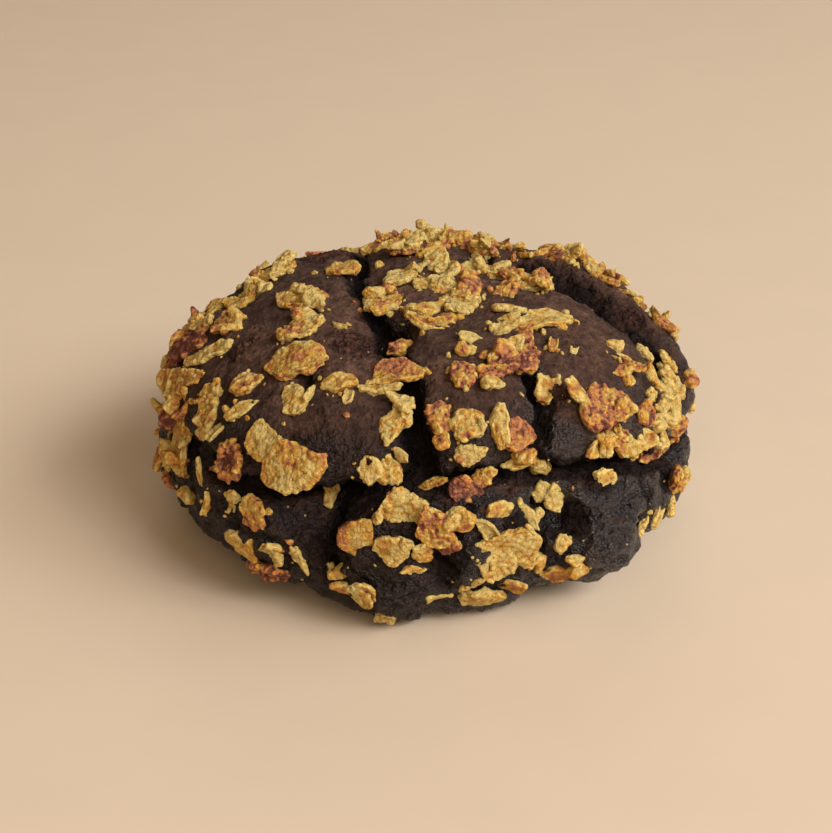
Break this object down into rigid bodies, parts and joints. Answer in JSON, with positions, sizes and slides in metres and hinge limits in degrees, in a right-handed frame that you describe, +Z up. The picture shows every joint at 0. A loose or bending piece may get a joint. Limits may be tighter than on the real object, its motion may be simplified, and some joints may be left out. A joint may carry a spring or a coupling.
{
  "type": "cornflake cookie",
  "caption": "Thick round chocolate cookie with a cracked top and a split round its waist, coated with crushed toasted corn flakes.",
  "frame": {"origin": "on the table under the middle of the cookie's outline", "axes": "+Z up from the table; the side with the widest opening of the waist faces -Y; +X to the right of that side"},
  "size_m": [0.0885, 0.0941, 0.0456],
  "materials": {
    "dough": "matt, fine-grained, dark brown",
    "flake_pale": "matt, blistered, pale yellow",
    "flake_golden": "matt, blistered, golden",
    "flake_toasted": "matt, crumbly, toasted orange brown"
  },
  "bodies": {
    "root": {"dough": "dough", "flake_top_1": "flake_golden", "flake_top_2": "flake_pale", "flake_top_3": "flake_pale", "flake_top_4": "flake_golden", "flake_top_5": "flake_pale", "flake_top_6": "flake_pale", "flake_top_7": "flake_pale", "flake_top_8": "flake_toasted", "flake_top_9": "flake_toasted", "flake_top_10": "flake_pale", "flake_top_11": "flake_golden", "flake_top_12": "flake_pale", "flake_rim_1": "flake_toasted", "flake_rim_2": "flake_pale", "flake_rim_3": "flake_toasted", "flake_rim_4": "flake_golden", "flake_rim_5": "flake_golden", "flake_rim_6": "flake_pale", "flake_rim_7": "flake_golden", "flake_rim_8": "flake_golden", "flake_rim_9": "flake_golden", "flake_left_1": "flake_pale", "flake_left_2": "flake_toasted", "flake_left_3": "flake_golden", "flake_left_4": "flake_golden", "flake_left_5": "flake_golden", "flake_left_6": "flake_toasted", "flake_left_7": "flake_pale", "flake_left_8": "flake_golden", "flake_left_9": "flake_pale", "flake_front_1": "flake_golden", "flake_front_2": "flake_pale", "flake_front_3": "flake_toasted", "flake_front_4": "flake_golden", "flake_front_5": "flake_toasted", "flake_front_6": "flake_toasted", "flake_front_7": "flake_pale", "flake_front_8": "flake_toasted", "flake_right_1": "flake_toasted", "flake_right_2": "flake_pale", "flake_right_3": "flake_golden", "flake_right_4": "flake_toasted", "flake_low_1": "flake_golden", "flake_low_2": "flake_toasted", "flake_low_3": "flake_golden", "flake_low_4": "flake_pale", "flake_low_5": "flake_toasted", "flake_low_6": "flake_pale", "flake_low_7": "flake_pale", "flake_back_1": "flake_golden", "flake_back_2": "flake_toasted", "flake_back_3": "flake_pale", "flake_back_4": "flake_golden", "flake_back_5": "flake_pale", "flake_back_6": "flake_toasted", "flake_back_7": "flake_golden", "flake_back_8": "flake_pale", "flake_back_9": "flake_golden", "flake_back_10": "flake_pale"}
  },
  "joints": []
}
